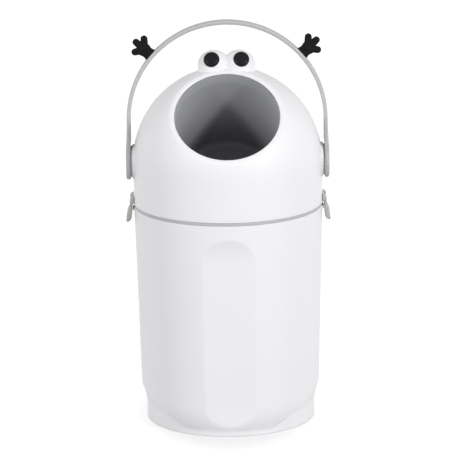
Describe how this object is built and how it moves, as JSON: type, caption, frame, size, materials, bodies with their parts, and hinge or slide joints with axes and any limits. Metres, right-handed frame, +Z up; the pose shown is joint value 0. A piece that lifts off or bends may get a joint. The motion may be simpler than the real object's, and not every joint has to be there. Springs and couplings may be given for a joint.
{
  "type": "nappy bin",
  "caption": "Tall round nappy bin with a lift-off domed hood, a slanted mouth, and a carrying handle that turns the drum inside to drop a nappy into the bag.",
  "frame": {"origin": "on the floor, under the middle of the foot", "axes": "+Z up, front with the mouth towards -Y, the drum's axle along X"},
  "size_m": [0.2944, 0.27, 0.5805],
  "materials": {
    "white_shell": "smooth satin moulded polypropylene",
    "ring_grey": "satin moulded grey",
    "seal_rubber": "soft matt grey sealing rubber",
    "bush_grey": "satin moulded darker grey",
    "pupil_black": "polished black",
    "steel": "plated",
    "clip_grey": "satin moulded light grey",
    "drum_grey": "satin moulded grey",
    "axle_grey": "satin moulded grey",
    "handle_grey": "satin moulded light grey",
    "hand_black": "soft matt black"
  },
  "bodies": {
    "bucket": {"base_shell": "white_shell", "bag_ring": "ring_grey"},
    "hood": {"hood_shell": "white_shell", "rim_gasket": "seal_rubber", "mouth_seal": "seal_rubber", "axle_bush_left": "bush_grey", "axle_bush_right": "bush_grey", "eye_housing": "white_shell", "eye_pupil_left": "pupil_black", "eye_pupil_right": "pupil_black", "clip_bracket_left": "clip_grey", "clip_bracket_right": "clip_grey", "clip_pin_left": "steel", "clip_pin_right": "steel"},
    "drum": {"drum_front": "drum_grey", "drum_back": "drum_grey", "cup_wall": "drum_grey", "cup_floor": "drum_grey", "drum_screws": "steel", "axle_left": "axle_grey", "axle_right": "axle_grey", "handle": "handle_grey", "handle_screw_left": "steel", "handle_screw_right": "steel", "hub_cap_left": "handle_grey", "hub_cap_right": "handle_grey", "hand_left": "hand_black", "hand_right": "hand_black"},
    "clip_left": {"clip_left": "clip_grey"},
    "clip_right": {"clip_right": "clip_grey"}
  },
  "joints": [
    {"name": "hood_lift", "type": "slide", "parent": "bucket", "child": "hood", "axis": [0, 0, 1], "range_m": [0, 0.3]},
    {"name": "drum_turn", "type": "hinge", "parent": "hood", "child": "drum", "pos_m": [0, 0, 0.3765], "axis": [1, 0, 0], "range_deg": [0, 135]},
    {"name": "clip_left_turn", "type": "hinge", "parent": "hood", "child": "clip_left", "pos_m": [-0.1386, 0, 0.3255], "axis": [0, 1, 0], "range_deg": [-7, 100]},
    {"name": "clip_right_turn", "type": "hinge", "parent": "hood", "child": "clip_right", "pos_m": [0.1386, 0, 0.3255], "axis": [0, -1, 0], "range_deg": [-7, 100]}
  ]
}
